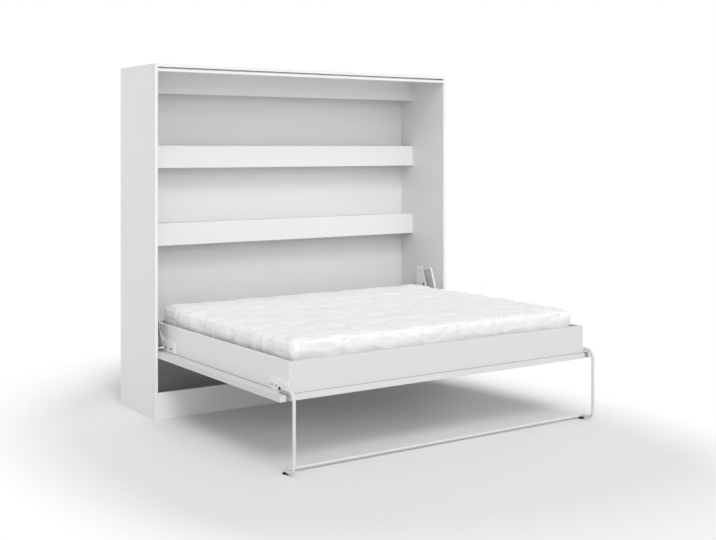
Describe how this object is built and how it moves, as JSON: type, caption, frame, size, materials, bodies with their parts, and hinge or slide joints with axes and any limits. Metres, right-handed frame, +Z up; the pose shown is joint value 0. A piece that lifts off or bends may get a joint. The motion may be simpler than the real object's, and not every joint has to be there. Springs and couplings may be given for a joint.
{
  "type": "wall bed",
  "caption": "Wall bed: a shallow white cabinet whose panel folds down sideways into a double bed on a tubular leg frame, with open shelves behind.",
  "frame": {"origin": "centre of the cabinet's footprint on the floor", "axes": "+X to the right along the cabinet, -Y out of the open front, +Z up"},
  "size_m": [2.24, 2.041, 2.155],
  "materials": {
    "white_laminate": "white satin melamine laminate on chipboard",
    "back_laminate": "pale grey-white laminate back board",
    "bed_laminate": "very pale grey-white laminate on chipboard",
    "white_steel": "white powder coat on steel",
    "zinc_steel": "zinc-plated steel",
    "black_plastic": "black moulded plastic",
    "birch_wood": "plain birch and beech",
    "nylon": "natural nylon",
    "mattress_cover": "white quilted knitted cover"
  },
  "bodies": {
    "cabinet": {"side_panel_right": "white_laminate", "side_panel_left": "white_laminate", "top_panel": "white_laminate", "base_panel": "white_laminate", "back_panel": "back_laminate", "wall_fixing_rail": "white_laminate", "corner_biscuits": "birch_wood", "kick_board": "white_laminate", "rear_bottom_rail": "white_laminate", "valance_board": "white_laminate", "upper_shelf_lip": "white_laminate", "lower_shelf_lip": "white_laminate", "upper_shelf": "white_laminate", "lower_shelf": "white_laminate", "stop_strip": "white_laminate", "mechanism_channel_right": "white_steel", "mechanism_channel_left": "white_steel", "channel_screws": "zinc_steel", "anchor_pins": "zinc_steel", "cap_bolts": "black_plastic", "pivot_pins": "zinc_steel", "spring_right": "zinc_steel", "spring_left": "zinc_steel"},
    "bed": {"arm_bolts": "zinc_steel", "bed_arm_left": "white_steel", "bed_arm_right": "white_steel", "bed_panel": "bed_laminate", "centre_beam": "birch_wood", "frame_brackets": "zinc_steel", "front_bearer": "birch_wood", "front_rail": "bed_laminate", "leg_bolts": "zinc_steel", "leg_plate_left": "white_steel", "leg_plate_right": "white_steel", "leg_screws": "zinc_steel", "mattress": "mattress_cover", "pivot_bushes": "nylon", "rear_bearer": "birch_wood", "rear_rail": "bed_laminate", "side_rail_left": "bed_laminate", "side_rail_right": "bed_laminate", "slat_holders_front": "nylon", "slat_holders_rear": "nylon", "slats_front": "birch_wood", "slats_rear": "birch_wood"},
    "leg": {"leg_frame": "white_steel"},
    "glide_foot_right": {"glide_right": "black_plastic"},
    "glide_foot_left": {"glide_left": "black_plastic"}
  },
  "joints": [
    {"name": "bed_tilt", "type": "hinge", "parent": "cabinet", "child": "bed", "pos_m": [0, -0.122, 0.515], "axis": [-1, 0, 0], "range_deg": [0, 90], "deforming": ["spring_right", "spring_left"]},
    {"name": "leg_swing", "type": "hinge", "parent": "bed", "child": "leg", "pos_m": [0, -1.641, 0.426], "axis": [-1, 0, 0], "range_deg": [-84.5, 0]},
    {"name": "glide_screw_right", "type": "slide", "parent": "leg", "child": "glide_foot_right", "axis": [0, 0, -1], "range_m": [0, 0.006]},
    {"name": "glide_screw_left", "type": "slide", "parent": "leg", "child": "glide_foot_left", "axis": [0, 0, -1], "range_m": [0, 0.006]}
  ],
  "couplings": [
    {"joint": "leg_swing", "follows": "bed_tilt", "ratio": -0.93889}
  ]
}
